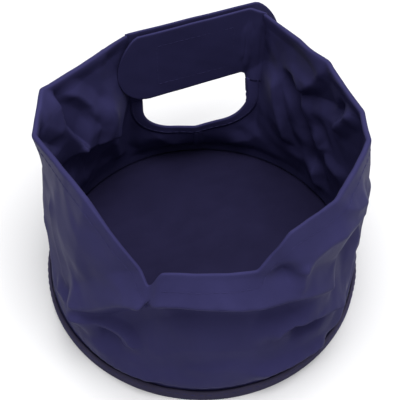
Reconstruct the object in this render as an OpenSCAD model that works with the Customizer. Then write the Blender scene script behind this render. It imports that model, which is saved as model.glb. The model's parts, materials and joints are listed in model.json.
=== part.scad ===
// Collapsible fabric storage bin: a coated-fabric wall on a round stiffened base.
// The two ends of the wall panel overlap at the back as rounded straps that press together with
// hook-and-loop tape, so they form a carrying handle that also opens to close round a rail.
// Frame: millimetres, +Z up, origin at the centre of the underside, handle at +Y.

/* [Base] */
// Outside diameter over the binding tape
base_d = 220; // [210:5:230]
// Height of the binding tape
binding_h = 10; // [6:1:12]
// Thickness of the stiffening board
board_t = 2; // [1:0.5:3]

/* [Wall] */
// Thickness of the wall fabric with its lining
wall_t = 1.2; // [1:0.1:1.5]
// Width of the turned hem below the rim
hem_w = 12; // [8:1:16]

/* [Handle] */
// Width of each strap, top edge to bottom edge
strap_w = 57; // [50:1:58]
// Thickness of each strap
strap_t = 1.6; // [1.2:0.1:2]
// Width of the hand hole
hole_w = 77; // [70:1:78]
// Height of the bottom of the hand hole
hole_z = 52; // [46:1:58]
// Corner radius at the bottom of the hand hole
hole_r = 20; // [10:1:28]
// How far the inner strap runs past the hand hole
inner_lap = 18; // [10:1:18]
// How far the outer strap runs past the hand hole
outer_lap = 25; // [15:1:26]

/* [Hidden] */

navy = [0.17, 0.17, 0.29];
navy_dark = [0.10, 0.10, 0.17];
tape_grey = [0.20, 0.19, 0.25];
thread_blue = [0.22, 0.22, 0.34];
board_grey = [0.35, 0.35, 0.38];

gap = 0.3;             // clearance between fabric layers
binding_t = 2.4;       // thickness of the tape folded round the seam allowance
panel_t = 1.2;         // thickness of the base panel and of the floor lining
facing_t = 0.8;        // thickness of the hem, the facing and the seam allowance
facing_w = 8;          // width of the facing round the hand hole
seam_w = 8;            // width of the seam allowance at the back
patch_t = 1.3;         // thickness of each hook-and-loop tape
patch_w = 60;          // length of each hook-and-loop tape
patch_h = 40;          // width of each hook-and-loop tape
stiffener_t = 0.5;     // thickness of the plastic sheet inside a strap
edge_in = 5;           // distance from a strap's edge to its stiffener
thread_r = 0.35;       // radius of the sewing thread
stitch_len = 3.4;      // visible length of one stitch
stitch_pitch = 5;      // distance from one stitch to the next
seam_in = 2;           // distance from the edge of a layer to its stitching
joint_gap = 1.6;       // clearance between a strap's hinge line and the wall's cut edge
column_w = 8;          // widest facet of the wall
board_in = 2.5;        // distance from the base panel's edge to the board
base_stitch_count = 80;
cutter_w = 200;        // size of a cutting solid along the handle and upwards
cutter_t = 80;         // size of a cutting solid across the handle

inner_top = 146;       // top edge of the inner strap
outer_top = 148;       // top edge of the outer strap
handle_at = [-5.5, 96]; // centre of the hand hole, seen from above
handle_yaw = 20;       // angle from the left-right axis to the handle

binding_r = base_d / 2;
foot_r = binding_r - binding_t - gap;   // outside radius of the wall where it meets the base
panel_r = foot_r - wall_t - gap;
lining_z = panel_t + board_t;
foot_z = 1;                             // lower edge of the wall, inside the binding
free_z = binding_h + 1;                 // height where the wall leaves the binding
hinge_x = hole_w / 2;
cut_x = hinge_x + joint_gap;
layer_y = (strap_t + gap) / 2 + patch_t; // from the handle's middle plane to a strap's middle

// A point of the handle's plane frame (X along the straps, Y outwards) in the object's plan
function in_plan(x, y) = handle_at
    + x * [cos(handle_yaw), sin(handle_yaw)] + y * [-sin(handle_yaw), cos(handle_yaw)];

// Corners of the rim as the fabric stands, anticlockwise from the middle of the hand hole:
// place in plan, height, how far the wall bulges out between its foot and its knee, and the
// height of the knee, above which it stands upright
right_edge = in_plan(cut_x, -layer_y + wall_t / 2);
left_edge = in_plan(-cut_x, layer_y + wall_t / 2);
corners = [
    [in_plan(0, 0), 146, -14, 88],
    [left_edge, 147, -5, 88],
    [in_plan(-47, 7), 147, -1, 100],
    [[-104, 31], 150, -3, 150],
    [[-106, -9], 150, -6, 150],
    [[-69, -59], 151, 2, 151],
    [[-31, -93.5], 116, 7, 116],
    [[0, -98], 132, 10, 132],
    [[32.5, -92.5], 128, 9, 128],
    [[51, -81], 148, 4, 148],
    [[78, -60], 151, 3, 151],
    [[104, -11], 150, 1, 150],
    [[103, 14], 149, 3, 149],
    [[83, 57], 148, -4, 148],
    [in_plan(50, -6), 146, -4, 100],
    [right_edge, 146, -7, 88],
    [in_plan(0, 0), 146, -14, 88]];
left_edge_i = 1;
hem_from_i = 3;
hem_to_i = 13;
right_edge_i = 15;
last_i = len(corners) - 1;

// Columns of the wall between two corners, at most column_w apart
function segment(i) =
    let (p = corners[i], q = corners[i + 1], n = ceil(norm(q[0] - p[0]) / column_w))
    [for (k = [0:n - 1]) p + (q - p) * k / n];
function columns(i0, i1) = concat([for (i = [i0:i1 - 1]) each segment(i)], [corners[i1]]);
all_columns = [for (i = [0:last_i - 1]) each segment(i)];

// Rows of the wall: below free_z it stands in the binding, above it leans to the rim
levels = [0.12, 0.25, 0.4, 0.55, 0.7, 0.85, 1];
hem_row = len(levels) + 1;
rim_row = hem_row + 1;
function hem_z(c) = c[1] - hem_w;
function row_z(c, row) =
    row == 0 ? foot_z :
    row == 1 ? free_z :
    row == rim_row ? c[1] : free_z + (hem_z(c) - free_z) * levels[row - 2];

// Point of the wall in column c at height z, inset from its outer face
function wall_point(c, z, inset = 0) =
    let (s = z <= free_z ? 0 : min(1, (z - free_z) / (c[3] - free_z)))
    let (r = foot_r + (norm(c[0]) - foot_r) * s + c[2] * 4 * s * (1 - s) - inset)
    let (way = c[0] / norm(c[0]))
    [r * way[0], r * way[1], z];

// A layer of fabric over the given columns and rows; a closed layer joins its ends
module wall_layer(cols, row0, row1, outer_inset, thickness, closed = false) {
    rows = row1 - row0 + 1;
    n = len(cols) * rows;
    spans = closed ? len(cols) : len(cols) - 1;
    points = [for (inset = [outer_inset, outer_inset + thickness]) for (c = cols)
        for (row = [row0:row1]) wall_point(c, row_z(c, row), inset)];
    function at(i, j) = (i % len(cols)) * rows + j;
    skins = [for (i = [0:spans - 1]) for (j = [0:rows - 2])
        let (a = at(i, j), b = at(i, j + 1), c = at(i + 1, j + 1), d = at(i + 1, j))
        each [[a, b, c], [a, c, d], [n + a, n + c, n + b], [n + a, n + d, n + c]]];
    edges = [for (i = [0:spans - 1])
        let (a = at(i, 0), d = at(i + 1, 0), b = at(i, rows - 1), c = at(i + 1, rows - 1))
        each [[a, d, n + d], [a, n + d, n + a], [b, n + c, c], [b, n + b, n + c]]];
    last = len(cols) - 1;
    ends = closed ? [] : [for (j = [0:rows - 2])
        let (a = at(0, j), b = at(0, j + 1), d = at(last, j), c = at(last, j + 1))
        each [[a, n + a, n + b], [a, n + b, b], [d, n + c, n + d], [d, c, n + c]]];
    polyhedron(points, concat(skins, edges, ends));
}

// Places children in the handle's frame: X along the straps, Y outwards
module on_handle() {
    translate([handle_at[0], handle_at[1], 0]) rotate([0, 0, handle_yaw]) children();
}
// Stands a flat outline upright, centred on the plane at y
module upright(y, thickness) {
    translate([0, y + thickness / 2, 0]) rotate([90, 0, 0]) linear_extrude(thickness) children();
}
// The hand hole with the open space above it, grown on every side
module hole_outline(grow = 0) {
    half = hole_w / 2 + grow;
    r = hole_r + grow;
    low = hole_z - grow;
    translate([-half, low + r]) square([2 * half, cutter_w]);
    translate([-half + r, low]) square([2 * (half - r), r + 1]);
    for (side = [-1, 1]) translate([side * (half - r), low + r]) circle(r, $fn = 64);
}
module hole_cut() {
    on_handle() {
        upright(0, cutter_t) hole_outline();
        translate([-cut_x, -cutter_t / 2, inner_top - strap_w - joint_gap])
            cube([2 * cut_x, cutter_t, cutter_w]);
    }
}

// One stitch from p to q, and a row of them
module thread(p, q) {
    d = q - p;
    translate(p) rotate([0, acos(d[2] / norm(d)), atan2(d[1], d[0])])
        cylinder(h = norm(d), r = thread_r, $fn = 16);
}
module stitch_row(p, q) {
    count = floor(norm(q - p) / stitch_pitch);
    step = (q - p) / count;
    way = step / norm(step);
    for (i = [0:count - 1]) {
        middle = p + step * (i + 0.5);
        thread(middle - way * stitch_len / 2, middle + way * stitch_len / 2);
    }
}

module base_panel() { color(navy_dark) cylinder(h = panel_t, r = panel_r, $fn = 128); }
module base_board() {
    color(board_grey) translate([0, 0, panel_t]) cylinder(h = board_t, r = panel_r - board_in, $fn = 128);
}
module floor_lining() {
    color(navy) translate([0, 0, lining_z]) cylinder(h = panel_t, r = panel_r, $fn = 128);
}
module base_binding() {
    soft = 0.9;
    color(tape_grey) rotate_extrude($fn = 128) translate([binding_r - binding_t, 0]) {
        square([binding_t - soft, binding_h]);
        translate([0, soft]) square([binding_t, binding_h - 2 * soft]);
        for (z = [soft, binding_h - soft]) translate([binding_t - soft, z]) circle(soft, $fn = 32);
    }
}
module base_stitches() {
    z = 0.75 * binding_h;
    half = stitch_len / 2;
    color(thread_blue) for (i = [0:base_stitch_count - 1]) {
        rotate([0, 0, i * 360 / base_stitch_count]) thread([binding_r, -half, z], [binding_r, half, z]);
    }
}

module wall_panel() {
    color(navy) difference() {
        wall_layer(all_columns, 0, rim_row, 0, wall_t, closed = true);
        hole_cut();
    }
}
module rim_hem() {
    color(navy) wall_layer(columns(hem_from_i, hem_to_i), hem_row, rim_row, wall_t + gap, facing_t);
}
module hem_stitches() {
    cols = columns(hem_from_i, hem_to_i);
    function start(c) = wall_point(c, hem_z(c) + seam_in);
    color(thread_blue) for (i = [0:len(cols) - 2]) stitch_row(start(cols[i]), start(cols[i + 1]));
}
module hole_facing() {
    round_hole = concat([for (i = [right_edge_i - 1:last_i - 1]) each segment(i)], columns(0, 2));
    color(navy) difference() {
        intersection() {
            wall_layer(round_hole, 0, hem_row, wall_t + gap, facing_t);
            on_handle() upright(0, cutter_t) difference() {
                hole_outline(facing_w);
                translate([-cutter_w / 2, inner_top - strap_w - joint_gap]) square(cutter_w);
            }
        }
        hole_cut();
    }
}
module facing_stitches() {
    z = hole_z - facing_w + seam_in;
    cols = columns(0, 1);
    color(thread_blue) for (i = [0:len(cols) - 3]) {
        stitch_row(wall_point(cols[i], z), wall_point(cols[i + 1], z));
    }
}

// The panel's two ends are sewn together under the hand hole, at the first column
module back_seam_allowance() {
    middle = corners[0];
    function beside(c) = middle + (c - middle) * seam_w / 2 / norm(c[0] - middle[0]);
    cols = [beside(corners[right_edge_i]), middle, beside(corners[left_edge_i])];
    top = hole_z - facing_w - gap;
    color(navy) intersection() {
        wall_layer(cols, 0, hem_row, wall_t + gap, facing_t);
        translate([-binding_r, 0, free_z]) cube([2 * binding_r, binding_r, top - free_z]);
    }
}
module back_seam_stitches() {
    c = columns(0, 1)[0];
    count = 8;
    rise = (hole_z - 2 * seam_in - free_z) / count;
    color(thread_blue) for (k = [0:count - 1]) {
        z = free_z + seam_in + k * rise;
        thread(wall_point(c, z), wall_point(c, z + stitch_len));
    }
}

// Strap outline from the hinge line at x = 0 to its round end, lower edge at y = 0
module strap_outline(length, inset = 0) {
    r = strap_w / 2 - inset;
    translate([inset, inset]) square([length - strap_w / 2 - inset, 2 * r]);
    translate([length - strap_w / 2, strap_w / 2]) circle(r, $fn = 96);
}
module strap(length) {
    difference() {
        union() {
            upright(0, strap_t) strap_outline(length);
            cylinder(h = strap_w, r = strap_t / 2, $fn = 32);
        }
        stiffener(length);
    }
}
module stiffener(length) { upright(0, stiffener_t) strap_outline(length, edge_in); }
// side is 1 where the patch lies on the strap's outward face and -1 on its inward face
module patch(side) {
    x = hinge_x - patch_w / 2;
    z = (strap_w - patch_h) / 2;
    upright(side * (strap_t + patch_t) / 2, patch_t) translate([x, z]) square([patch_w, patch_h]);
}
module patch_stitches(side) {
    x0 = hinge_x - patch_w / 2 + seam_in;
    x1 = x0 + patch_w - 2 * seam_in;
    z0 = (strap_w - patch_h) / 2 + seam_in;
    z1 = z0 + patch_h - 2 * seam_in;
    y = -side * strap_t / 2;
    stitch_row([x0, y, z0], [x1, y, z0]);
    stitch_row([x1, y, z0], [x1, y, z1]);
    stitch_row([x1, y, z1], [x0, y, z1]);
    stitch_row([x0, y, z1], [x0, y, z0]);
}
inner_len = hole_w + inner_lap;
outer_len = hole_w + outer_lap;
module place_inner() {
    on_handle() translate([hinge_x, -layer_y, inner_top - strap_w]) mirror([1, 0, 0]) children();
}
module place_outer() {
    on_handle() translate([-hinge_x, layer_y, outer_top - strap_w]) children();
}

module inner_strap() { color(navy) place_inner() strap(inner_len); }
module inner_strap_stiffener() { color(board_grey) place_inner() stiffener(inner_len); }
module loop_patch() { color(navy_dark) place_inner() patch(1); }
module loop_patch_stitches() { color(thread_blue) place_inner() patch_stitches(1); }
module outer_strap() { color(navy) place_outer() strap(outer_len); }
module outer_strap_stiffener() { color(board_grey) place_outer() stiffener(outer_len); }
module hook_patch() { color(navy_dark) place_outer() patch(-1); }
module hook_patch_stitches() { color(thread_blue) place_outer() patch_stitches(-1); }

base_panel();
base_board();
floor_lining();
base_binding();
base_stitches();
wall_panel();
rim_hem();
hem_stitches();
hole_facing();
facing_stitches();
back_seam_allowance();
back_seam_stitches();
inner_strap();
inner_strap_stiffener();
loop_patch();
loop_patch_stitches();
outer_strap();
outer_strap_stiffener();
hook_patch();
hook_patch_stitches();
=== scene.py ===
"""Looks of a collapsible fabric storage bin.

The wall is one sheet of coated nylon, sewn to a round stiffened base. Its two ends are straps that
overlap at the back and press together over the hand hole. Lengths are millimetres until a mesh is
made. Angles on the wall are degrees about the bin's axis, anticlockwise seen from above, with the
front at -90 and the handle near 90.
"""
import json
import math

import bmesh
import bpy
import numpy as np
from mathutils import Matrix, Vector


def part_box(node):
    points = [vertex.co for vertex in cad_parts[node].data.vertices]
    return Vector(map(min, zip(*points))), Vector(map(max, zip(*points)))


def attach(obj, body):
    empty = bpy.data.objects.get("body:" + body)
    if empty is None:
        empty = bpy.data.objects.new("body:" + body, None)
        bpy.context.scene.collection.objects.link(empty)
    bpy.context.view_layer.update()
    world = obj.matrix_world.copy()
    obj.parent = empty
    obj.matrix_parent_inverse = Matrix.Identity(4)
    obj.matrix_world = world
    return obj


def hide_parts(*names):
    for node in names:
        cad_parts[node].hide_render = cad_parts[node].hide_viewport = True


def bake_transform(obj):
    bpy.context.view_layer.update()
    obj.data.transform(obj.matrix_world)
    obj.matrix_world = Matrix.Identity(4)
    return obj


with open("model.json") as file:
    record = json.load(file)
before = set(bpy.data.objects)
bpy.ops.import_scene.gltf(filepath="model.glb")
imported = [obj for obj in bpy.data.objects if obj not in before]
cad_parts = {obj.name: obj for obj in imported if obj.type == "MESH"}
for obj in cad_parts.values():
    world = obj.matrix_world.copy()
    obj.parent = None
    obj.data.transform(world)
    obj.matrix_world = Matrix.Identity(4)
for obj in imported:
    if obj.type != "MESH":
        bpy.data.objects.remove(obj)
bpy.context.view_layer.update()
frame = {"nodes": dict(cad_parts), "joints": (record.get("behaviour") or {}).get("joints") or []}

MM = 0.001


# ---------------------------------------- sizes, from the frame

def span(node):
    """Lowest and highest corner of a CAD node in millimetres."""
    low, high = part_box(node)
    return np.array(low) / MM, np.array(high) / MM


HINGES = {j["child"]: np.array(j["pos_m"]) / MM for j in frame["joints"]}
HANDLE_AT = (HINGES["inner_strap"] + HINGES["outer_strap"])[:2] / 2
HANDLE_YAW = math.radians(20)      # turn of the straps from the x axis
ALONG = np.array([math.cos(HANDLE_YAW), math.sin(HANDLE_YAW)])
OUTWARD = np.array([-math.sin(HANDLE_YAW), math.cos(HANDLE_YAW)])
HINGE_X = float((HINGES["inner_strap"][:2] - HANDLE_AT) @ ALONG)
LAYER_Y = float((HINGES["outer_strap"][:2] - HANDLE_AT) @ OUTWARD)

BINDING_R = span("base_binding")[1][0]
BINDING_H = span("base_binding")[1][2]
FLOOR_Z = span("floor_lining")[1][2]
PANEL_R = span("floor_lining")[1][0]
PANEL_TOP = span("base_panel")[1][2]
INNER_LOW, INNER_TOP = span("inner_strap")[0][2], span("inner_strap")[1][2]
OUTER_LOW, OUTER_TOP = span("outer_strap")[0][2], span("outer_strap")[1][2]
INNER_REACH, OUTER_REACH = 95, 102     # length of each strap past its hinge
INNER_END, OUTER_END = HINGE_X - INNER_REACH, OUTER_REACH - HINGE_X

TAPE_T = 2.4           # thickness of the binding tape with the seam allowance in it
FOOT_R = BINDING_R - TAPE_T - 0.3
FOOT_Z = 1.0
FREE_Z = BINDING_H + 1     # the wall is held round below this height
CLOTH_T = 0.8          # thickness of the wall's cloth
ON_FACE = -0.1         # inset of a thread that lies on the wall's outer face
FOLD_R = 1.2           # radius of the fold at the rim by the handle and along the front
SOFT_FOLD_R = 1.8      # radius of the looser fold round the sides
HEM_LIFT = 0.7         # depth of the hem's sewn edge behind the wall's outer face
HEM_W = 12.0
STRAP_T = 1.6          # thickness of a strap
HOLE_Z = 52.0          # lower edge of the hand hole
HOLE_R = 20.0          # radius of its lower corners
FACING_W = 8.0
PATCH_W = 60.0         # length of the hook and loop patches along the straps
ARM_Z = 84.4           # height where a strap's cloth takes over from the wall on each arm


def plan(x, y):
    """A point of the handle's frame (x along the straps, y outwards) in the bin's plan."""
    return HANDLE_AT + np.multiply.outer(x, ALONG) + np.multiply.outer(y, OUTWARD)


# ---------------------------------------- the wall's surface

# The seams where the wall goes over into its two straps, in the handle's frame
RIGHT_SEAM = (50, -6)
LEFT_SEAM = (-47, 4)
RIGHT_CORNER = plan(*RIGHT_SEAM)
LEFT_CORNER = plan(*LEFT_SEAM)
# Corners of the rim, anticlockwise from the middle of the hand hole: plan x and y, height, how far
# the wall bulges out below the corner, and the height above which it stands upright there
CORNERS = [
    (*plan(0, 0), 146, -14, 88),
    (*plan(-40, 2.8), 147, -5, 88),
    (*LEFT_CORNER, 147, -1, 100),
    (-67, 68, 148, -9, 148),
    (-104, 31, 150, -7, 150),
    (-106, -9, 150, -5, 150),
    (-69, -59, 151, 2, 151),
    (-31.5, -93.5, 115, 3, 115),
    (-29.5, -93, 115.5, 3, 115.5),
    (-25, -95.5, 127, 3, 127),
    (0, -98, 132, 3, 132),
    (32.5, -92.5, 127.5, 3, 127.5),
    (51, -81, 148, 3, 148),
    (78, -60, 151, 3, 151),
    (104, -11, 150, 1, 150),
    (103, 14, 149, 3, 149),
    (83, 57, 148, -4, 148),
    (*RIGHT_CORNER, 145.3, -4, 100),
    (*plan(40, -1.7), 147, -7, 88),
]
RIM_STEP = 0.5
HANDLE_ANGLE = 94.5        # middle of the hand hole
FRONT_ANGLE = -90
LOW_RIM_ANGLE = -85        # middle of the low part of the rim


def smooth(low, high, value):
    """0 below low, 1 above high, and a soft step between them."""
    share = np.clip((value - low) / (high - low), 0, 1)
    return share * share * (3 - 2 * share)


def turn_from(middle, angle):
    """Degrees from a middle angle, between -180 and 180."""
    return (angle - middle + 180) % 360 - 180


def rim_table():
    """Angle, radius, height, bulge and knee round the rim, with its corners slightly rounded."""
    corners = np.array(CORNERS, float)
    rows = []
    for here, there in zip(corners, np.roll(corners, -1, axis=0)):
        count = max(1, round(np.hypot(*(there - here)[:2]) / RIM_STEP))
        rows += [here + (there - here) * k / count for k in range(count)]
    rows = np.array(rows)
    reach = 8       # rows to each side that soften a corner
    kernel = np.exp(-np.linspace(-2, 2, 2 * reach + 1) ** 2 * 1.2)
    kernel /= kernel.sum()
    padded = np.concatenate([rows[-reach:], rows, rows[:reach]])
    rows = np.stack([np.convolve(padded[:, k], kernel, "valid") for k in range(5)], axis=1)
    angle = np.degrees(np.arctan2(rows[:, 1], rows[:, 0]))
    order = np.argsort(angle)
    radius = np.hypot(rows[:, 0], rows[:, 1])
    return [column[order] for column in (angle, radius, rows[:, 2], rows[:, 3], rows[:, 4])]


RIM = rim_table()
RIM_ANGLE, RIM_RADIUS, RIM_HEIGHT, RIM_BULGE, RIM_KNEE = range(5)     # its columns


def rim_value(angle, column):
    """A column of the rim's table at an angle."""
    return np.interp(angle, RIM[RIM_ANGLE], RIM[column], period=360)


def rim_top(angle):
    return rim_value(angle, RIM_HEIGHT)


# Creases: (points, height, width to the left, width to the right). A point is (angle, height on
# the wall) and left and right are seen along the points with height upwards, from outside. A
# positive height stands out from the bin, and a negative one stands into it.
ARC = math.radians(1) * 105     # millimetres of wall in a degree
OUTER_CREASES = [
    # shoulder across the front, and the broad groove that shades the wall under it
    ([(-146, 55), (-135, 60), (-125, 80), (-116, 96), (-103, 110), (-90, 114), (-78, 109), (-64, 103),
      (-52, 95), (-44, 86), (-37, 79)], 9.5, 7.5, 11),
    ([(-137, 44), (-126, 60), (-116, 75), (-103, 89), (-90, 93), (-78, 89), (-64, 84), (-53, 72)],
     -9.0, 8.5, 15),
    # pleat at the rim, left of the front
    ([(-109.6, 84), (-108.4, 95), (-107.4, 109)], -5.5, 1.0, 1.8),
    ([(-113.5, 84), (-111.2, 95), (-109.4, 109)], 2.5, 6, 1.4),
    # sharp upright fold on the left, and the valley beside it
    ([(-184, 118), (-180, 90), (-175, 64), (-167, 50), (-159, 40), (-153, 24)], 4.0, 9, 3.5),
    ([(-168, 112), (-160, 88), (-152, 66), (-146, 52)], 2.6, 5, 3),
    # folds over the left of the base
    ([(-157, 44), (-148, 48), (-140, 48), (-134, 48), (-127, 52), (-121, 53), (-117, 52), (-114, 47),
      (-113, 38)], 5.5, 2.6, 7),
    ([(-132, 40), (-124, 43), (-117, 42)], -3.0, 2.5, 4),
    ([(-139, 8), (-126, 14), (-113, 19.5), (-102, 22)], 2.4, 4, 1.6),
    # right front: the long fold from the right tip to the front rim
    ([(-17, 114), (-27, 121), (-35, 125), (-44, 127), (-51, 124), (-61, 115)], 8, 14, 11),
    ([(-38, 150), (-28, 131), (-17, 121), (-8, 112)], 2.4, 3, 3),
    ([(-54, 126), (-55.5, 114), (-57, 98)], 3.0, 3, 4),
    # right front: two rounded folds over the base with a pocket between them
    ([(-32, 44), (-36, 52), (-43, 61), (-51, 67), (-58, 68), (-63, 63), (-65, 50)], 8.5, 2.4, 8),
    ([(-40, 42), (-46, 47), (-53, 50), (-59, 47)], -6.0, 4, 5),
    ([(-38, 16), (-45, 19), (-54, 23), (-63, 25.5), (-74, 27)], 4.8, 5, 3.4),
    # right side
    ([(-14, 90), (-19, 76), (-25, 67), (-30, 48), (-33, 30)], 3.6, 4, 6),
    ([(-24, 66), (-17, 55), (-22, 42), (-30, 24), (-39, 12)], 3.0, 3, 5),
    ([(-2, 112), (-8, 84), (-10, 60), (-8, 36)], 2.6, 8, 5),
    ([(10, 74), (4, 48), (6, 22)], 2.2, 6, 4),
    ([(38, 96), (30, 70), (33, 40), (28, 18)], 3.0, 7, 4),
    # left side and behind
    ([(186, 70), (176, 46), (170, 20)], 2.6, 5, 7),
    ([(150, 118), (144, 92), (150, 60), (144, 30)], 3.0, 6, 5),
]
INNER_CREASES = [
    # deep narrow valley in the right back, between two sharp folds
    ([(50, 40), (54.5, 62), (58, 80), (60, 94), (60.5, 108)], -6.0, 3.0, 6.5),
    ([(36, 30), (39, 52), (41.5, 72), (46.5, 88), (51, 100), (55, 116)], 9.5, 4.2, 4.2),
    ([(33, 10), (36, 30), (38, 50), (39.5, 70), (43, 86), (48, 104)], -5.5, 3.0, 5.0),
    # overhanging fold in the right back, with its shaded hollow
    ([(50, 100), (43, 115), (38, 130), (34, 147)], -6, 4.5, 12),
    ([(49, 98), (36, 108), (24, 119)], 6.0, 5, 7),
    # tongue of cloth folded over on the right
    ([(25, 94), (23, 107), (17, 124), (11, 141)], -6.0, 4.5, 4.0),
    ([(27, 98), (24.5, 114), (20.5, 133)], 5.5, 2.2, 3.0),
    ([(38, 82), (34, 64), (26, 73)], -4.4, 4, 4),
    ([(35, 61), (22, 59), (14, 66)], -4.6, 8, 3.0),
    # left: sharp fold under the corner, the black hollow beside it, and the tongue
    ([(155, 76), (159, 96), (165, 122), (163.5, 136), (163, 150)], -11, 2.6, 13),
    ([(146, 96), (147, 116), (152, 130), (159, 141)], -4.5, 5, 3),
    ([(181, 142), (175, 124), (168, 104)], 5.0, 3.0, 4),
    # left: overhang above the dark lower wall
    ([(160, 90), (152, 81), (145, 75.5), (138, 75), (127, 60)], -9.0, 2.6, 17),
    ([(138, 50), (134.5, 24)], 3.4, 4, 4),
    ([(133, 62), (129, 40), (126, 15)], -3.4, 3, 4),
    ([(160, 60), (156, 38), (158, 15)], -3.0, 5, 6),
    ([(146, 60), (148, 36), (144, 16)], -2.0, 3, 4),
    # dark turn of the wall beside the right arm
    ([(68, 40), (68, 96), (67.4, 138)], 1.4, 3, 2.4),
    # low folds behind the floor
    ([(114, 46), (105, 30), (96, 22)], -2.0, 5, 6),
    ([(62, 42), (70, 26), (82, 20)], -2.0, 5, 6),
]
# Mounds: (angle, height on the wall, half width in degrees, half height, how far it stands out)
MOUNDS = [
    (-61, 119, 4, 6, -3.0),
    (-127, 28, 9, 9, 2.2),
    (-50, 46, 8, 7, -5.0),
    (-90, 21, 38, 15, 4.2),
    (-150, 104, 12, 24, 2.4),
    (22, 122, 6, 9, 3.0),
    (140, 96, 12, 18, -7.0),
    (170, 66, 9, 22, 3.0),
    (92, 30, 20, 14, -1.5),
    (-26, 96, 8, 12, -4.5),
    (-40, 84, 9, 12, -2.0),
    (38, 128, 8, 9, 2.5),
]
CREASE_ROUND = 0.5         # how far a crease's sharp line is rounded off
CREASE_REACH = 2.3         # how far a crease reaches to each side, as a share of its width


def crease_shape(angle, z, points, left, right):
    """Height from 0 to 1 of one crease: sharp at its line, dying away to each side and its ends."""
    line = np.array(points, float)
    middle = line[:, 0].mean()
    u = turn_from(middle, angle) * ARC
    line[:, 0] = (line[:, 0] - middle) * ARC
    steps = np.diff(line, axis=0)
    lengths = np.hypot(steps[:, 0], steps[:, 1])
    near = np.full(np.shape(u), 1e9)
    side, along = np.zeros_like(near), np.zeros_like(near)
    walked = 0.0
    for start, step, length in zip(line, steps, lengths):
        share = np.clip(((u - start[0]) * step[0] + (z - start[1]) * step[1]) / length ** 2, 0, 1)
        du, dz = u - start[0] - share * step[0], z - start[1] - share * step[1]
        distance = np.hypot(du, dz)
        closer = distance < near
        near = np.where(closer, distance, near)
        side = np.where(closer, step[0] * dz - step[1] * du, side)
        along = np.where(closer, walked + share * length, along)
        walked += length
    width = np.where(side > 0, left, right)
    soft = np.sqrt(near ** 2 + CREASE_ROUND ** 2) - CREASE_ROUND
    fade = min(14.0, walked / 3)
    ends = np.clip(np.minimum(along, walked - along) / fade, 0, 1)
    tent = np.clip(1 - soft / (CREASE_REACH * width), 0, 1)
    return tent ** 1.35 * ends * ends * (3 - 2 * ends)


class Ripples:
    """Seeded waves that run through space, so that they close round the bin."""

    def __init__(self, seed, wavelength, count=9):
        rng = np.random.default_rng(seed)
        ways = rng.normal(size=(count, 3))
        ways /= np.linalg.norm(ways, axis=1)[:, None]
        self.waves = ways * (2 * math.pi / (wavelength * rng.uniform(0.7, 1.4, count)))[:, None]
        self.phases = rng.uniform(0, 2 * math.pi, count)

    def at(self, x, y, z):
        total = sum(np.sin(w[0] * x + w[1] * y + w[2] * z + p)
                    for w, p in zip(self.waves, self.phases))
        return total / math.sqrt(len(self.phases) / 2)


# Swells, crumples and fine creases of the cloth
BROAD, MIDDLE, FINE = Ripples(3, 90), Ripples(11, 38), Ripples(29, 13)


def relief(angle, z):
    """How far the cloth stands out from its plain shape, and how hard it is creased."""
    folds = np.zeros(np.broadcast(angle, z).shape)
    wear_and_highlight = np.zeros_like(folds)
    for points, height, left, right in OUTER_CREASES + INNER_CREASES:
        shape = crease_shape(angle, z, points, left, right)
        folds += height * shape
        # the mask that pales the crease lines: partly wear, partly painted highlight
        wear_and_highlight = np.maximum(wear_and_highlight, shape ** 4 * min(1, abs(height) / 4))
    for at, height, wide, tall, out in MOUNDS:
        turn = turn_from(at, angle) / wide
        folds += out * np.exp(-turn ** 2 - ((z - height) / tall) ** 2)
    x = FOOT_R * np.cos(np.radians(angle))
    y = FOOT_R * np.sin(np.radians(angle))
    crumple = 0.9 * BROAD.at(x, y, z)
    crumple += 0.2 * (0.8 - np.abs(MIDDLE.at(x, y, z)))
    crumple += 0.05 * FINE.at(x, y, z)
    pucker = 0.5 * np.sin(angle * 1.37 + 3 * MIDDLE.at(x, y, 0)) * np.exp(-(z - FREE_Z) / 7)
    free = smooth(FREE_Z - 1, FREE_Z + 9, z)
    # the front below the shoulder and the arms beside the hand hole are drawn smooth
    front = np.exp(-(turn_from(FRONT_ANGLE, angle) / 40) ** 2) * (1 - smooth(96, 116, z))
    crumple *= 1 - 0.8 * front
    handle = np.abs(turn_from(HANDLE_ANGLE, angle))
    calm = 1 - 0.9 * (1 - smooth(22, 30, handle)) * smooth(30, 56, z)
    return (folds + crumple * calm + pucker) * free, wear_and_highlight * free


def radius(angle, z):
    """Radius of the wall's outer face."""
    share = np.clip((z - FREE_Z) / (rim_value(angle, RIM_KNEE) - FREE_Z), 0, 1)
    plain = FOOT_R + (rim_value(angle, RIM_RADIUS) - FOOT_R) * share
    bulge = rim_value(angle, RIM_BULGE) * 4 * share * (1 - share)
    return plain + bulge + relief(angle, z)[0]


def on_wall(angle, z, inset=0.0):
    """Points on the wall's outer face, or inset from it along its normal."""
    angle, z = np.broadcast_arrays(np.asarray(angle, float), np.asarray(z, float))

    def place(a, h):
        r = radius(a, h)
        return np.stack([r * np.cos(np.radians(a)), r * np.sin(np.radians(a)), h], axis=-1)

    points = place(angle, z)
    if np.any(inset):
        turn, rise = 0.3, 0.6
        across = place(angle + turn, z) - place(angle - turn, z)
        upward = place(angle, z + rise) - place(angle, z - rise)
        normal = np.cross(across, upward)
        normal /= np.linalg.norm(normal, axis=-1, keepdims=True)
        points = points - normal * np.asarray(inset)[..., None]
    return points


# ---------------------------------------- mesh helpers

def add_object(name, data):
    obj = bpy.data.objects.new(name, data)
    bpy.context.scene.collection.objects.link(obj)
    return obj


def add_mesh(name, points, faces):
    """A smooth-shaded mesh object from points in millimetres."""
    mesh = bpy.data.meshes.new(name)
    mesh.from_pydata((np.asarray(points, float).reshape(-1, 3) * MM).tolist(), [], faces)
    mesh.validate()
    mesh.polygons.foreach_set("use_smooth", [True] * len(mesh.polygons))
    return add_object(name, mesh)


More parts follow.
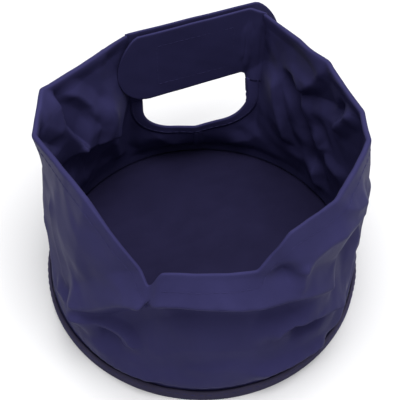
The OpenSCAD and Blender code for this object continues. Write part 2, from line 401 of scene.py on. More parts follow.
def grid_faces(rows, columns, offset=0, wrap_rows=False, wrap_columns=False):
    """Quads of a grid whose points run along each row."""
    faces = []
    for i in range(rows if wrap_rows else rows - 1):
        for j in range(columns if wrap_columns else columns - 1):
            a, b = i * columns + j, i * columns + (j + 1) % columns
            c, d = (i + 1) % rows * columns + (j + 1) % columns, (i + 1) % rows * columns + j
            faces.append((a + offset, b + offset, c + offset, d + offset))
    return faces


def set_uv(obj, coordinates):
    """A UV map from one pair of millimetre coordinates for each vertex."""
    layer = obj.data.uv_layers.new(name="cloth")
    corners = np.empty(len(obj.data.loops), int)
    obj.data.loops.foreach_get("vertex_index", corners)
    layer.data.foreach_set("uv", (np.asarray(coordinates)[corners] * MM * 10).ravel())


def set_value(obj, name, values):
    """A number for each vertex, which a material can read."""
    attribute = obj.data.attributes.new(name, "FLOAT", "POINT")
    attribute.data.foreach_set("value", np.asarray(values, np.float32).ravel())


def weld(obj, distance=0.02):
    """Join vertices that lie together, and turn all faces the same way out."""
    work = bmesh.new()
    work.from_mesh(obj.data)
    bmesh.ops.remove_doubles(work, verts=work.verts, dist=distance * MM)
    bmesh.ops.recalc_face_normals(work, faces=work.faces)
    work.to_mesh(obj.data)
    work.free()


def thicken(obj, thickness, offset=-1.0):
    """Give a single sheet its thickness: inwards from its face, or outwards with offset 1."""
    solid = obj.modifiers.new("thickness", "SOLIDIFY")
    solid.thickness = thickness * MM
    solid.offset = offset
    return solid


def thread_row(name, starts, ends, thickness):
    """Stitches as small round-ended rods, each from a start to an end."""
    sides, rings = 6, ((0.0, 0.35), (0.12, 0.9), (0.5, 1.05), (0.88, 0.9), (1.0, 0.35))
    points, faces = [], []
    for start, end in zip(starts, ends):
        way = (end - start) / np.linalg.norm(end - start)
        side = np.cross(way, (0.3, 0.2, 0.93))
        side /= np.linalg.norm(side)
        other = np.cross(way, side)
        base = len(points)
        for share, wide in rings:
            for k in range(sides):
                turn = 2 * math.pi * k / sides
                spread = side * math.cos(turn) + other * math.sin(turn)
                points.append(start + (end - start) * share + spread * wide * thickness)
        faces += grid_faces(len(rings), sides, base, wrap_columns=True)
        faces.append(tuple(base + k for k in reversed(range(sides))))
        faces.append(tuple(base + (len(rings) - 1) * sides + k for k in range(sides)))
    return add_mesh(name, points, faces)


# ---------------------------------------- materials

def new_material(name):
    """A material, its shader, and functions that add a node and link two of them."""
    material = bpy.data.materials.new(name)
    material.use_nodes = True
    tree = material.node_tree
    tree.nodes.clear()

    def node(kind, **settings):
        made = tree.nodes.new("ShaderNode" + kind)
        for key, value in settings.items():
            if hasattr(made, key):
                setattr(made, key, value)
            else:
                made.inputs[key].default_value = value
        return made

    def link(source, out, target, into):
        tree.links.new(source.outputs[out], target.inputs[into])

    shader = node("BsdfPrincipled")
    link(shader, "BSDF", node("OutputMaterial"), "Surface")
    return material, shader, node, link


def set_inputs(node, values):
    for name, value in values.items():
        node.inputs[name].default_value = value


def cloth_material(name, colour, roughness, sheen, weave, weave_depth, mottling, wear_and_highlight=0.0,
                   ribs=False, crushed=0.0):
    """Woven cloth: crossing threads in relief, a mottled colour, creases and edges paled partly as
    wear and partly as painted highlight, fine crushing.
    """
    material, shader, node, link = new_material(name)
    set_inputs(shader, {"Roughness": roughness, "Sheen Weight": sheen, "Sheen Roughness": 0.45,
                        "Sheen Tint": BLUE_SHEEN, "Specular IOR Level": 0.03,
                        "Specular Tint": BLUE_GLOSS})

    place = node("TexCoord")
    cloud = node("TexNoise", Scale=26.0, Detail=5.0, Roughness=0.6)
    link(place, "Object", cloud, "Vector")
    tone_ramp = node("ValToRGB")
    dark = [c * (1 - mottling) for c in colour]
    pale = [min(1, c * (1 + mottling)) for c in colour]
    tone_ramp.color_ramp.elements[0].position = 0.3
    tone_ramp.color_ramp.elements[0].color = (*dark, 1)
    tone_ramp.color_ramp.elements[1].position = 0.7
    tone_ramp.color_ramp.elements[1].color = (*pale, 1)
    link(cloud, "Fac", tone_ramp, "Fac")
    colour_from = (tone_ramp, "Color")
    # paler colour where the mask is set, on creases, the rim and the strap edges: partly wear, partly
    # painted highlight
    if wear_and_highlight:
        crease = node("Attribute", attribute_name="wear_and_highlight")
        scuff = node("TexNoise", Scale=420.0, Detail=3.0)
        link(place, "Object", scuff, "Vector")
        amount = node("Math", operation="MULTIPLY")
        link(crease, "Fac", amount, 0)
        link(scuff, "Fac", amount, 1)
        rub_and_highlight = node("Mix", data_type="RGBA")
        rub_and_highlight.inputs["B"].default_value = (*[min(1, c * 1.5 + 0.006) for c in colour], 1)
        strength = node("Math", operation="MULTIPLY")
        strength.inputs[1].default_value = wear_and_highlight
        link(amount, "Value", strength, 0)
        link(strength, "Value", rub_and_highlight, "Factor")
        link(tone_ramp, "Color", rub_and_highlight, "A")
        colour_from = (rub_and_highlight, "Result")
    link(*colour_from, shader, "Base Color")

    cloth = node("UVMap", uv_map="cloth")
    crossing = node("Math", operation="MULTIPLY")
    for index, direction in enumerate(("X", "Y")):
        scale = weave / 5 if ribs and direction == "Y" else weave
        wave = node("TexWave", bands_direction=direction, wave_profile="SIN", Scale=scale,
                    Distortion=0.3, Detail=0.0)
        link(cloth, "UV", wave, "Vector")
        link(wave, "Fac", crossing, index)
    grain = node("TexNoise", Scale=900.0, Detail=2.0)
    link(place, "Object", grain, "Vector")
    total = node("Math", operation="ADD")
    link(crossing, "Value", total, 0)
    link(grain, "Fac", total, 1)
    bump = node("Bump", Strength=0.5, Distance=weave_depth * MM)
    link(total, "Value", bump, "Height")
    if crushed:
        wrinkle = node("TexNoise", noise_type="RIDGED_MULTIFRACTAL", Scale=24.0, Detail=4.0,
                       Distortion=0.8)
        link(place, "Object", wrinkle, "Vector")
        crush = node("Bump", Strength=1.0, Distance=crushed * MM)
        link(wrinkle, "Fac", crush, "Height")
        link(crush, "Normal", bump, "Normal")
    link(bump, "Normal", shader, "Normal")
    return material


def plastic_material(name, colour, roughness):
    """Moulded sheet plastic with a fine matte grain."""
    material, shader, node, link = new_material(name)
    set_inputs(shader, {"Base Color": (*colour, 1), "Roughness": roughness})
    grain = node("TexNoise", Scale=1400.0, Detail=3.0)
    link(node("TexCoord"), "Object", grain, "Vector")
    bump = node("Bump", Strength=0.3, Distance=0.05 * MM)
    link(grain, "Fac", bump, "Height")
    link(bump, "Normal", shader, "Normal")
    return material


def pile_material(name, colour, scale, depth, hooks):
    """Hook-and-loop tape: a brushed pile of loops, or rows of stiff hooks."""
    material, shader, node, link = new_material(name)
    set_inputs(shader, {"Roughness": 0.6 if hooks else 0.9, "Sheen Weight": 0.0 if hooks else 0.1,
                        "Sheen Tint": BLUE_SHEEN, "Specular IOR Level": 0.1})
    cells = node("TexVoronoi", Scale=scale, Randomness=0.15 if hooks else 1.0)
    link(node("TexCoord"), "Object", cells, "Vector")
    # darker where the pile's relief is low and paler on its tops: painted shade in the hollows,
    # painted highlight on the tops
    tone_ramp = node("ValToRGB")
    tone_ramp.color_ramp.elements[0].color = (*[c * 1.5 for c in colour], 1)
    tone_ramp.color_ramp.elements[1].color = (*[c * 0.5 for c in colour], 1)
    link(cells, "Distance", tone_ramp, "Fac")
    link(tone_ramp, "Color", shader, "Base Color")
    bump = node("Bump", invert=True, Strength=0.9, Distance=depth * MM)
    link(cells, "Distance", bump, "Height")
    link(bump, "Normal", shader, "Normal")
    return material


NAVY = (0.0255, 0.0238, 0.0740)
BLUE_GLOSS = (0.4, 0.42, 0.9, 1)
BLUE_SHEEN = (0.35, 0.36, 1.0, 1)
SHELL = cloth_material("coated_nylon", NAVY, 0.48, 0.01, 55, 0.04, 0.10, wear_and_highlight=0.25,
                       crushed=5.0)
STRAP = cloth_material("strap_nylon", NAVY, 0.48, 0.01, 55, 0.04, 0.10, wear_and_highlight=0.25, crushed=0.8)
LINING = cloth_material("lining_nylon", (0.0135, 0.0120, 0.0350), 0.55, 0.01, 55, 0.05, 0.12)
UNDER = cloth_material("base_nylon", (0.013, 0.012, 0.028), 0.7, 0.05, 45, 0.06, 0.12)
TAPE = cloth_material("grosgrain_tape", (0.034, 0.030, 0.056), 0.75, 0.05, 30, 0.16, 0.12, ribs=True)
THREAD = cloth_material("polyester_thread", (0.030, 0.028, 0.082), 0.6, 0.1, 300, 0.05, 0.1)
LOOPS = pile_material("loop_pile", (0.018, 0.018, 0.040), 900, 0.5, hooks=False)
HOOKS = pile_material("hook_tape", (0.016, 0.016, 0.034), 620, 0.6, hooks=True)
BOARD = plastic_material("board_plastic", (0.10, 0.10, 0.115), 0.6)
STIFFENER = plastic_material("stiffener_plastic", (0.10, 0.10, 0.115), 0.45)


def finish_piece(obj, material, body, stands_for):
    """Give a piece its material, the CAD nodes that it replaces, and the body that it rides on."""
    obj.data.materials.append(material)
    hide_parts(*stands_for)
    if body:
        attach(obj, body)


# ---------------------------------------- wall

ANGLE_RIGHT = math.degrees(math.atan2(RIGHT_CORNER[1], RIGHT_CORNER[0]))
ANGLE_LEFT = math.degrees(math.atan2(LEFT_CORNER[1], LEFT_CORNER[0]))
ANGLE_STEP = 0.6
WALL_ROWS = 92
SEAM_ROW = 50          # row of the wall that reaches ARM_Z at the handle
LOW_ROWS = [FOOT_Z, 5.0]
FOLD_ROWS = 8
HEM_ROWS = 9
PRESSED_ROWS = 3       # the hem's last rows, pressed thin so that they sink into the wall


def wall_levels(top):
    """Heights of the wall's rows from its foot to the start of the fold at the rim."""
    top = np.asarray(top, float)
    share = np.linspace(0, 1, WALL_ROWS + 1)
    rise = FREE_Z + np.multiply.outer(share, top - FREE_Z)
    low = [np.full_like(top, z) for z in LOW_ROWS]
    return np.concatenate([np.array(low).reshape(len(LOW_ROWS), *top.shape), rise])


def normals_of(grid):
    across = np.gradient(grid, axis=1)
    upward = np.gradient(grid, axis=0)
    normal = np.cross(across, upward)
    return normal / np.linalg.norm(normal, axis=-1, keepdims=True)


def fold_radius(angle):
    """Radius of the fold at the rim: tight along the low front and by the handle."""
    front = np.abs(turn_from(LOW_RIM_ANGLE, angle))
    handle = np.abs(turn_from(HANDLE_ANGLE, angle))
    return FOLD_R + (SOFT_FOLD_R - FOLD_R) * smooth(38, 58, front) * smooth(28, 42, handle)


def rim_fold(grid, normal, fold):
    """Rows that turn the cloth over at the rim and run back down inside it as a hem."""
    top, out = grid[-1], normal[-1]
    upward = top - grid[-4]
    upward /= np.linalg.norm(upward, axis=-1, keepdims=True)
    fold = fold[:, None]
    centre = top - out * fold
    rows = []
    for k in range(1, FOLD_ROWS):
        turn = math.pi * k / FOLD_ROWS
        rows.append(centre + fold * (out * math.cos(turn) + upward * math.sin(turn)))
    step = top[:, 2] - grid[-2][:, 2]
    cols = np.arange(grid.shape[1])
    for down in np.linspace(0, HEM_W, HEM_ROWS):
        row = len(grid) - 1 - np.clip(down / step, 0, len(grid) - 2)
        low = np.floor(row).astype(int)
        part = (row - low)[:, None]
        high = np.minimum(low + 1, len(grid) - 1)
        face = grid[low, cols] * (1 - part) + grid[high, cols] * part
        way = normal[low, cols] * (1 - part) + normal[high, cols] * part
        rows.append(face - way * (2 * fold + (HEM_LIFT - 2 * fold) * smooth(0, HEM_W, down)))
    return np.array(rows)


HANDLE_ANGLES = np.arange(ANGLE_LEFT + 6, ANGLE_RIGHT - 6, -0.4)
HANDLE_LEVELS = np.arange(30, 151, 0.5)
HANDLE_X = (on_wall(HANDLE_ANGLES[None, :], HANDLE_LEVELS[:, None])[..., :2] - HANDLE_AT) @ ALONG


def angle_at(x, z):
    """Angle on the wall where it has x in the handle's frame, at height z."""
    x, z = np.broadcast_arrays(np.asarray(x, float), np.asarray(z, float))
    found = []
    for one_x, row in zip(x.ravel(), (z.ravel() - HANDLE_LEVELS[0]) * 2):
        low = min(int(row), len(HANDLE_LEVELS) - 2)
        xs = HANDLE_X[low] * (low + 1 - row) + HANDLE_X[low + 1] * (row - low)
        found.append(np.interp(one_x, xs, HANDLE_ANGLES))
    return np.array(found).reshape(x.shape)


HOLE_SIDE_ROWS = 8


def hole_edge():
    """The hand hole's lower edge in the handle's frame, from its right end to its left end."""
    side = HINGE_X - HOLE_R
    points = [(HINGE_X, z) for z in np.linspace(ARM_Z, HOLE_Z + HOLE_R, HOLE_SIDE_ROWS)]
    turns = np.radians(np.linspace(0, 90, 21))[1:]
    points += [(side + HOLE_R * math.cos(t), HOLE_Z + HOLE_R * (1 - math.sin(t))) for t in turns]
    half = points + [(x, HOLE_Z) for x in np.linspace(side, 0, 13)[1:]]
    return np.array(half + [(-x, z) for x, z in half[-2::-1]])


def build_wall():
    """The wall with its folded rim, open where the hand hole and the straps are."""
    angles = np.arange(ANGLE_LEFT, ANGLE_RIGHT + 360, ANGLE_STEP)
    angles = np.append(angles, ANGLE_RIGHT + 360)
    fold = fold_radius(angles)
    levels = wall_levels(rim_top(angles) - fold)
    front = on_wall(angles[None, :], levels)
    hem = rim_fold(front, normals_of(front), fold)
    main = np.concatenate([front, hem])

    # the wall under the hand hole, from the right corner back to the left one
    edge = hole_edge()
    edge_angle = angle_at(edge[:, 0], edge[:, 1])
    seam_z = [wall_levels(rim_top(a) - FOLD_R)[len(LOW_ROWS) + SEAM_ROW]
              for a in (ANGLE_RIGHT, ANGLE_LEFT)]
    right = np.linspace(ANGLE_RIGHT, edge_angle[0], 9)[:-1]
    left = np.linspace(edge_angle[-1], ANGLE_LEFT, 8)[1:]
    top_angle = np.concatenate([right, edge_angle, left])
    right_z = np.linspace(seam_z[0], ARM_Z, 9)[:-1]
    left_z = np.linspace(ARM_Z, seam_z[1], 8)[1:]
    top_z = np.concatenate([right_z, edge[:, 1], left_z])
    # columns under the hole spread evenly at the foot, and those beside it stay beside it
    walked = np.append(0, np.cumsum(np.hypot(np.diff(top_angle) * ARC, np.diff(top_z))))
    first = len(right) + HOLE_SIDE_ROWS - 1
    last = len(top_angle) - len(left) - HOLE_SIDE_ROWS
    clear = 0.8
    ends = [ANGLE_RIGHT, top_angle[first] - clear, top_angle[last] + clear, ANGLE_LEFT]
    foot_angle = np.interp(walked, walked[[0, first, last, -1]], ends)
    share = np.linspace(0, 1, SEAM_ROW + 1)[:, None]
    rise = FREE_Z + (top_z[None, :] - FREE_Z) * share
    turn = foot_angle[None, :] + (top_angle - foot_angle)[None, :] * share ** 1.5
    low = [np.full((1, len(foot_angle)), z) for z in LOW_ROWS]
    rise = np.concatenate(low + [rise])
    turn = np.concatenate([foot_angle[None, :]] * len(LOW_ROWS) + [turn])
    back = on_wall(turn, rise)

    points = np.concatenate([main.reshape(-1, 3), back.reshape(-1, 3)])
    main_count = main.shape[0] * main.shape[1]
    faces = grid_faces(*main.shape[:2]) + grid_faces(*back.shape[:2], offset=main_count)
    wall = add_mesh("wall", points, faces)
    hem_v = levels[-1][None, :] + np.linspace(1, 18, len(hem))[:, None]
    main_u = np.broadcast_to(angles * ARC, main.shape[:2])
    uv_main = np.stack([main_u, np.concatenate([levels, hem_v])], axis=-1)
    uv_back = np.stack([(turn + 360) * ARC, rise], axis=-1)
    set_uv(wall, np.concatenate([uv_main.reshape(-1, 2), uv_back.reshape(-1, 2)]))
    # paler along creases and round the folded rim: partly wear, partly painted highlight
    wear_and_highlight = relief(angles[None, :], levels)[1]
    rim_wear_and_highlight = np.full((len(hem), len(angles)), 0.1)
    back_wear_and_highlight = relief(turn, rise)[1]
    set_value(wall, "wear_and_highlight", np.concatenate([wear_and_highlight.ravel(), rim_wear_and_highlight.ravel(), back_wear_and_highlight.ravel()]))
    thickness = wall.vertex_groups.new(name="thickness")
    thickness.add(list(range(len(points))), 1.0, "REPLACE")
    pressed = range(main_count - PRESSED_ROWS * main.shape[1], main_count)
    thickness.add(list(pressed), 0.4, "REPLACE")
    weld(wall)
    thicken(wall, CLOTH_T).vertex_group = "thickness"
    finish_piece(wall, SHELL, "bin", ["wall_panel", "rim_hem"])


build_wall()


def build_hem_stitching():
    angles = np.arange(ANGLE_LEFT + 2, ANGLE_RIGHT + 358, 2.75)
    half = 1.0
    line = 2 - HEM_W
    starts = on_wall(angles - half, rim_top(angles - half) + line, ON_FACE)
    ends = on_wall(angles + half, rim_top(angles + half) + line, ON_FACE)
    row = thread_row("hem_stitching", starts, ends, 0.2)
    finish_piece(row, THREAD, "bin", ["hem_stitches"])


build_hem_stitching()


# ---------------------------------------- facing and back seam

FACING_ROWS = 7


def build_facing():
    """The strip sewn inside the wall round the lower part of the hand hole."""
    edge = hole_edge()
    edge[[0, -1], 1] -= 0.4
    along = np.gradient(edge, axis=0)
    away = np.stack([-along[:, 1], along[:, 0]], axis=1)
    away /= np.linalg.norm(away, axis=1)[:, None]
    rows = []
    for out in np.linspace(0.2, FACING_W, FACING_ROWS):
        strip = edge + away * out
        angle = angle_at(strip[:, 0], strip[:, 1])
        rows.append(on_wall(angle, strip[:, 1], CLOTH_T + 0.05))
    rows = np.array(rows)
    facing = add_mesh("hole_facing_strip", rows, grid_faces(*rows.shape[:2]))
    walked = np.append(0, np.cumsum(np.linalg.norm(np.diff(rows[0], axis=0), axis=1)))
    across = np.linspace(0, FACING_W, FACING_ROWS)
    set_uv(facing, np.stack(np.meshgrid(walked, across), axis=-1).reshape(-1, 2))
    thicken(facing, 0.45, offset=1.0)
    finish_piece(facing, SHELL, "bin", ["hole_facing"])

    line = edge + away * (FACING_W - 2)
    steps = np.append(0, np.cumsum(np.hypot(*np.diff(line, axis=0).T)))
    at = np.arange(10, steps[-1] - 12, 5.0)
    ends = []
    for shift in (0, 3.4):
        x = np.interp(at + shift, steps, line[:, 0])
        z = np.interp(at + shift, steps, line[:, 1])
        ends.append(on_wall(angle_at(x, z), z, CLOTH_T + 0.8))
    row = thread_row("facing_stitching", ends[0], ends[1], 0.18)
    finish_piece(row, THREAD, "bin", ["facing_stitches"])


build_facing()


def build_back_seam():
    """The wall's two ends sewn together under the hand hole, opened flat inside."""
    middle = float(angle_at(np.array([0.0]), np.array([44.0]))[0])
    z = np.linspace(FREE_Z - 3, HOLE_Z - FACING_W - 0.5, 30)
    across = np.array([-4.0, -2.6, -1.2, -0.25, 0.25, 1.2, 2.6, 4.0])
    lift = np.array([0.2, 0.25, 0.35, 0.1, 0.1, 0.35, 0.25, 0.2])
    angle = middle + across[None, :] / ARC
    grid = on_wall(angle, z[:, None], CLOTH_T + lift[None, :])
    flaps = add_mesh("back_seam_flaps", grid, grid_faces(*grid.shape[:2]))
    set_uv(flaps, np.stack(np.meshgrid(across, z), axis=-1).reshape(-1, 2))
    thicken(flaps, 0.5, offset=1.0)
    finish_piece(flaps, SHELL, "bin", ["back_seam_allowance"])
    starts_z = np.arange(FREE_Z + 2, HOLE_Z - 6, 4.6)
    row = thread_row("back_seam_stitching", on_wall(middle, starts_z, ON_FACE),
                     on_wall(middle, starts_z + 3.2, ON_FACE), 0.28)
    finish_piece(row, THREAD, "bin", ["back_seam_stitches"])


build_back_seam()


# ---------------------------------------- straps

# Creases of a strap: (points in the handle's frame, height outwards, width)
INNER_STRAP_CREASES = [
    ([(36.6, 132), (34.9, 104)], -1.0, 0.8),
    ([(39.5, 134), (37, 96)], -1.4, 1.0),
    ([(43, 128), (38, 94)], -1.2, 1.3),
    ([(47, 138), (45, 104)], -1.2, 1.4),
    ([(-37, 100), (-37, 134)], 0.35, 0.8),
]
OUTER_STRAP_CREASES = [
    ([(-37, 136), (-34, 102)], 0.8, 1.4),
    ([(-41, 130), (-38, 98)], 0.7, 1.3),
]
FILLET = 5.0
ARM_LAP = 1.2          # how far a strap laps over the wall's cut edge
ARM_DROP = 0.6         # how far below the wall's cut edge the lap starts
CAP_COLUMNS = 14
INNER_RISE = 1.6       # how far the inner strap's upper edge stands above the CAD one


def round_off(x, end_x, length, power):
    """Share of a strap's half width left near its end, on one edge; a low power cuts the corner."""
    share = np.clip(1 - np.abs(x - end_x) / length, 0, 1)
    past = np.abs(x - end_x) < length
    return np.where(past, (1 - share ** power) ** (1 / power), 1.0)


def strap_lines(seam_angle, seam_x, end_x, low, top, tilt, low_round, top_round):
    """Columns of a strap from its seam to its round end: x, lower and upper edge."""
    way = 1 if end_x > seam_x else -1
    half = (top - low) / 2
    cap_x = end_x - way * half
    hinge = -way * HINGE_X
    arm = np.linspace(seam_x, hinge, 9)[:-1]
    bend = np.linspace(hinge, hinge + way * 2 * FILLET, 15)[:-1]
    run = np.linspace(hinge + way * 2 * FILLET, cap_x, 40)
    cap = cap_x + way * half * np.sin(np.linspace(0, math.radians(88.5), CAP_COLUMNS)[1:])
    x = np.concatenate([arm, bend, run, cap])
    middle = (low + top) / 2
    lower = middle - half * round_off(x, end_x, low_round, 2.0) + tilt[0] * x
    upper = middle + half * round_off(x, end_x, top_round, 1.45) + tilt[1] * x
    upper += (rim_top(seam_angle) - upper) * (1 - smooth(0, 1, (x - seam_x) / (hinge - seam_x)))
    into = np.clip(FILLET - np.abs(x - hinge), 0, FILLET)
    fillet = 1 - np.sqrt(1 - (into / FILLET) ** 2)
    past = (x - hinge) * way >= 0
    arm_z = ARM_Z - ARM_DROP
    lapped = arm_z - ARM_LAP * smooth(0, 3, (hinge - x) * way)
    lower = np.where(past, lower + (arm_z - lower) * fillet, lapped)
    return x, lower, upper


def strap_relief(x, z, creases):
    """How far a strap's creases stand out from its plain face."""
    total = np.zeros(np.shape(x))
    for points, height, width in creases:
        (x0, z0), (x1, z1) = points
        length = math.hypot(x1 - x0, z1 - z0)
        share = ((x - x0) * (x1 - x0) + (z - z0) * (z1 - z0)) / length ** 2
        off = np.abs((x - x0) * (z1 - z0) - (z - z0) * (x1 - x0)) / length
        ends = smooth(-0.15, 0.15, share) * (1 - smooth(0.85, 1.15, share))
        total += height * np.exp(-(np.sqrt(off ** 2 + 0.3) - 0.5) / width) * ends
    return total


def build_strap(name, body, seam_angle, seam_x, end_x, low, top, tilt, layer, creases, low_round,
                top_round):
    """One strap as a closed sheet, from its seam on the wall to its round end."""
    x, lower, upper = strap_lines(seam_angle, seam_x, end_x, low, top, tilt, low_round, top_round)
    way = 1 if end_x > seam_x else -1
    hinge = -way * HINGE_X
    across = np.linspace(0, 1, 44)
    z = lower[:, None] + (upper - lower)[:, None] * across
    xs = np.broadcast_to(x[:, None], z.shape)
    thick = CLOTH_T + 0.3 + (STRAP_T - CLOTH_T) * smooth(0.0, 0.35, (x - seam_x) / (hinge - seam_x))
    thick = np.where((x - hinge) * way >= 0, STRAP_T, thick)
    slack = 0.08 * MIDDLE.at(xs, 0 * xs, z * 0.8) + 0.03 * FINE.at(xs, 0 * xs, z)
    y = layer + STRAP_T / 2 + strap_relief(xs, z, creases) + slack
    face = np.concatenate([plan(xs, y), z[..., None]], axis=-1)
    # the arm follows the wall at its seam, which it laps over a little, and is flat at the hinge
    arm = (x - hinge) * way < 0
    share = (x[arm] - seam_x) / (hinge - seam_x)
    share[0] = -0.08
    for row, part in zip(np.flatnonzero(arm), share):
        at_hinge = angle_at(np.full(z.shape[1], hinge * 1.001), z[row])
        angle = seam_angle + (at_hinge - seam_angle) * part
        wall_face = on_wall(angle, z[row], -0.15)
        wall_face += np.append(OUTWARD, 0) * strap_relief(xs[row], z[row], creases)[:, None] * part
        mix = smooth(0.55, 1.0, part)
        straight = np.concatenate([plan(xs[row], y[row]), z[row][:, None]], axis=-1)
        face[row] = wall_face * (1 - mix) + straight * mix
    normal = normals_of(np.swapaxes(face, 0, 1)).swapaxes(0, 1)
    normal *= np.sign((normal[:, :, :2] @ OUTWARD).mean())
    normal[-CAP_COLUMNS:] = np.append(OUTWARD, 0)
    # rounded edges join the outer face to the inner one, above and below
    half = thick[:, None, None] / 2
    middle = face - normal * half
    rings = [face]
    for edge, sign in ((-1, 1), (0, -1)):
        turns = [math.pi * k / 6 for k in range(1, 6)]
        centre, out = middle[:, edge], normal[:, edge]
        tall = np.where(arm & (edge == 0), 0.05, 1.0)[:, None] * np.array([0, 0, sign])
        arc = [centre + half[:, 0] * (out * math.cos(t) * sign + tall * math.sin(t)) for t in turns]
        rings.append(np.stack(arc, axis=1))
        if edge == -1:
            rings.append((middle - normal * half)[:, ::-1])
    loop = np.concatenate(rings, axis=1)
    count, around = loop.shape[:2]
    faces = grid_faces(count, around, wrap_columns=True)
    faces.append(tuple(range(around)))
    faces.append(tuple((count - 1) * around + k for k in range(around)))
    strap = add_mesh(name, loop, faces)
    length = np.broadcast_to(x[:, None], loop.shape[:2])
    set_uv(strap, np.stack([length, loop[..., 2]], axis=-1).reshape(-1, 2))
    # paler along the strap's rounded edges and round end: painted highlight, with some wear
    edge_wear_and_highlight = np.zeros(loop.shape[:2])
    edge_wear_and_highlight[:, z.shape[1]:z.shape[1] + 5] = 0.9
    edge_wear_and_highlight[:, -5:] = 0.7
    edge_wear_and_highlight[-CAP_COLUMNS:] = 0.25
    set_value(strap, "wear_and_highlight", edge_wear_and_highlight)
    weld(strap, 0.005)
    finish_piece(strap, STRAP, None, [body])
    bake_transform(strap)


build_strap("inner_strap_cloth", "inner_strap", ANGLE_RIGHT, RIGHT_SEAM[0], INNER_END, INNER_LOW,
            INNER_TOP + INNER_RISE, tilt=(0.04, 0.012), layer=-LAYER_Y,
            creases=INNER_STRAP_CREASES, low_round=24, top_round=16)
build_strap("outer_strap_cloth", "outer_strap", ANGLE_LEFT, LEFT_SEAM[0], OUTER_END, OUTER_LOW,
            OUTER_TOP, tilt=(0.01, 0.0), layer=LAYER_Y,
            creases=OUTER_STRAP_CREASES, low_round=28, top_round=18)


def patch_stitching(name, body, node, y):
    """Thin thread round a hook-and-loop patch, on the strap's free face."""
    low, high = span(node)[0][2] + 0.35, span(node)[1][2] - 0.35
    half = PATCH_W / 2 - 2
    corners = np.array([(-half, low), (half, low), (half, high), (-half, high), (-half, low)])
    starts, ends = [], []
    for here, there in zip(corners[:-1], corners[1:]):
        length = np.hypot(*(there - here))
        count = int(length // 4)
        for k in range(count):
            for share, found in ((k + 0.15, starts), (k + 0.85, ends)):
                x, z = here + (there - here) * share / count
                found.append(np.append(plan(x, y), z))
    row = thread_row(name, starts, ends, 0.14)
    finish_piece(row, THREAD, body, [node])


patch_stitching("loop_patch_stitching", "inner_strap", "loop_patch_stitches", -LAYER_Y - STRAP_T / 2)
patch_stitching("hook_patch_stitching", "outer_strap", "hook_patch_stitches", LAYER_Y + STRAP_T / 2)


# ---------------------------------------- base

BASE_STITCHES = 128
BASE_STITCH_Z = 7.3


def build_binding():
    """Tape folded round the seam between the wall and the base, slightly wavy along its edge."""
    turns = np.radians(np.arange(0, 360, 1.0))
    x, y = BINDING_R * np.cos(turns), BINDING_R * np.sin(turns)
    wave = 0.35 * MIDDLE.at(x, y, 0 * x) + 0.2 * FINE.at(x, y, 0 * x)
    drift = 0.25 * MIDDLE.at(x, y, 40 + 0 * x)
    inner_r = BINDING_R - TAPE_T
    section = [(0.0, 0.9), (0.3, 0.3), (0.9, 0.0), (1.7, 0.0), (2.2, 0.35), (2.4, 1.0), (2.45, 3.0),
               (2.35, 5.0), (2.5, 7.0), (2.35, 8.6), (1.9, 9.5), (1.2, 9.9), (0.5, 9.7), (0.1, 9.0),
               (0.0, 7.0), (0.0, 4.0)]
    rows = []
    for out, z in section:
        lift = z / BINDING_H
        r = inner_r + out + drift * lift * min(1.0, out)
        rows.append(np.stack([r * np.cos(turns), r * np.sin(turns), z + wave * lift], axis=-1))
    rows = np.array(rows)
    faces = grid_faces(*rows.shape[:2], wrap_rows=True, wrap_columns=True)
    tape = add_mesh("binding_tape", rows, faces)
    depth = np.linspace(0, 24, len(section))
    set_uv(tape, np.stack(np.meshgrid(np.degrees(turns) * ARC, depth), axis=-1).reshape(-1, 2))
    weld(tape)
    finish_piece(tape, TAPE, "bin", ["base_binding"])
    at = 2 * math.pi * np.arange(BASE_STITCHES) / BASE_STITCHES
    half = 1.6 / BINDING_R

    def on_tape(angle):
        lift = np.interp(np.degrees(angle) % 360, np.degrees(turns), wave, period=360)
        shift = np.interp(np.degrees(angle) % 360, np.degrees(turns), drift, period=360)
        r = BINDING_R + 0.1 + shift * 0.7
        return np.stack([r * np.cos(angle), r * np.sin(angle), BASE_STITCH_Z + lift * 0.7], axis=-1)

    row = thread_row("base_stitching", on_tape(at - half), on_tape(at + half), 0.26)
    finish_piece(row, THREAD, "bin", ["base_stitches"])


build_binding()


def build_disc(name, low, high, radius_out, wrinkle, seed, material, node):
    """A round cloth panel, faintly wrinkled on top, or underneath where wrinkle is negative."""
    broad, fine = Ripples(seed, 60), Ripples(seed + 1, 24)
    rings, around = 56, 160
    turns = np.linspace(0, 2 * math.pi, around, endpoint=False)
    faces, points = [], []
    heights = (high, low) if wrinkle > 0 else (low, high)
    for side, level in enumerate(heights):
        for k in range(rings + 1):
            r = radius_out * k / rings
            x, y = r * np.cos(turns), r * np.sin(turns)
            edge = max(0.0, (r - radius_out + 1.2) / 1.2)
            drop = (high - low) * 0.35 * edge ** 2
            calm = smooth(0, 0.12, 1 - k / rings)
            lift = (0.5 + 0.3 * broad.at(x, y, 0 * x) - 0.25 * np.abs(fine.at(x, y, 0 * x))) * calm
            sign = 1 if level == high else -1
            z = level - sign * drop + (abs(wrinkle) * lift if side == 0 else 0)
            points += np.stack([x, y, z + 0 * x], axis=-1).tolist()
        faces += grid_faces(rings + 1, around, side * (rings + 1) * around, wrap_columns=True)
    last = rings * around
    other = (2 * rings + 1) * around
    for k in range(around):
        n = (k + 1) % around
        faces.append((last + k, last + n, other + n, other + k))
    disc = add_mesh(name, points, faces)
    set_uv(disc, np.array(points)[:, :2])
    weld(disc)
    finish_piece(disc, material, "bin", [node])


build_disc("floor_cloth", span("floor_lining")[0][2] + 0.05, FLOOR_Z, PANEL_R, 1.1, 41, LINING,
           "floor_lining")
build_disc("underside_cloth", 0.1, PANEL_TOP - 0.05, PANEL_R, -0.25, 57, UNDER,
           "base_panel")


# ---------------------------------------- carried-over CAD nodes

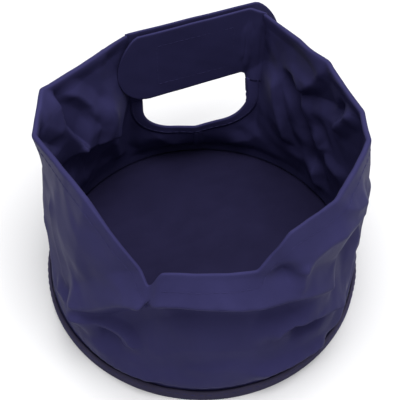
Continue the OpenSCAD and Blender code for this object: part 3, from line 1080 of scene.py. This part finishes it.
CARRIED = {
    "base_board": (BOARD, "board"),
    "inner_strap_stiffener": (STIFFENER, "strap_stiffener"),
    "outer_strap_stiffener": (STIFFENER, "strap_stiffener"),
    "loop_patch": (LOOPS, "loop_tape"),
    "hook_patch": (HOOKS, "hook_tape"),
}
for cad_name, (material, slot_name) in CARRIED.items():
    cad_object = frame["nodes"][cad_name]
    cad_object.data.materials.clear()
    cad_object.data.materials.append(material)


# ---------------------------------------- flat height of the wall

def declare_sheets():
    """Work out the wall's mean flat height from its foot to the hem's edge; it is not used."""
    tall = rim_top(np.arange(ANGLE_LEFT, ANGLE_RIGHT + 360)).mean() + HEM_W - FOOT_Z


declare_sheets()


# ---------------------------------------- floor, light and camera

def build_stage():
    bpy.ops.mesh.primitive_plane_add(size=6, location=(0, 0, 0))
    ground = bpy.context.object
    ground.name = "studio_floor"
    material, shader = new_material("pale_paper")[:2]
    set_inputs(shader, {"Base Color": (0.64, 0.64, 0.65, 1), "Roughness": 0.9})
    ground.data.materials.append(material)


def look_at(obj, place, aim):
    """Put a camera or light at a place and point it at its aim."""
    obj.location = place
    way = np.array(aim, float) - np.array(place, float)
    pitch = math.atan2(math.hypot(way[0], way[1]), -way[2])
    obj.rotation_euler = (pitch, 0, math.atan2(way[1], way[0]) - math.pi / 2)


CAMERA_PITCH = math.radians(55.3)
CAMERA_DISTANCE = 0.8
CAMERA_AIM = (-0.0012, 0, 0.075)
CAMERA_LENS = 99.27


def build_camera():
    data = bpy.data.cameras.new("camera")
    data.lens = CAMERA_LENS
    data.sensor_width = 36
    data.clip_start = 0.01
    camera = add_object("camera", data)
    back = CAMERA_DISTANCE * math.cos(CAMERA_PITCH)
    up = CAMERA_DISTANCE * math.sin(CAMERA_PITCH)
    look_at(camera, (0, -back, up), CAMERA_AIM)
    bpy.context.scene.camera = camera


ZENITH_LIGHT = 1.4     # brightness of the studio overhead
HORIZON_LIGHT = 0.1    # brightness at eye level


def build_light():
    world = bpy.data.worlds.new("studio")
    bpy.context.scene.world = world
    world.use_nodes = True
    tree = world.node_tree
    background = tree.nodes["Background"]
    place = tree.nodes.new("ShaderNodeTexCoord")
    split = tree.nodes.new("ShaderNodeSeparateXYZ")
    level = tree.nodes.new("ShaderNodeMapRange")
    level.inputs["To Min"].default_value = HORIZON_LIGHT
    level.inputs["To Max"].default_value = ZENITH_LIGHT
    tree.links.new(place.outputs["Generated"], split.inputs["Vector"])
    tree.links.new(split.outputs["Z"], level.inputs["Value"])
    tree.links.new(level.outputs["Result"], background.inputs["Strength"])
    background.inputs["Color"].default_value = (1, 1, 1, 1)
    key = bpy.data.lights.new("key", "AREA")
    key.shape = "SQUARE"
    key.size = 0.8
    key.energy = 20
    look_at(add_object("key", key), (0.1, -0.15, 1.4), (0, 0, 0.05))
    bpy.context.scene.view_settings.view_transform = "Standard"


build_stage()
build_light()
build_camera()
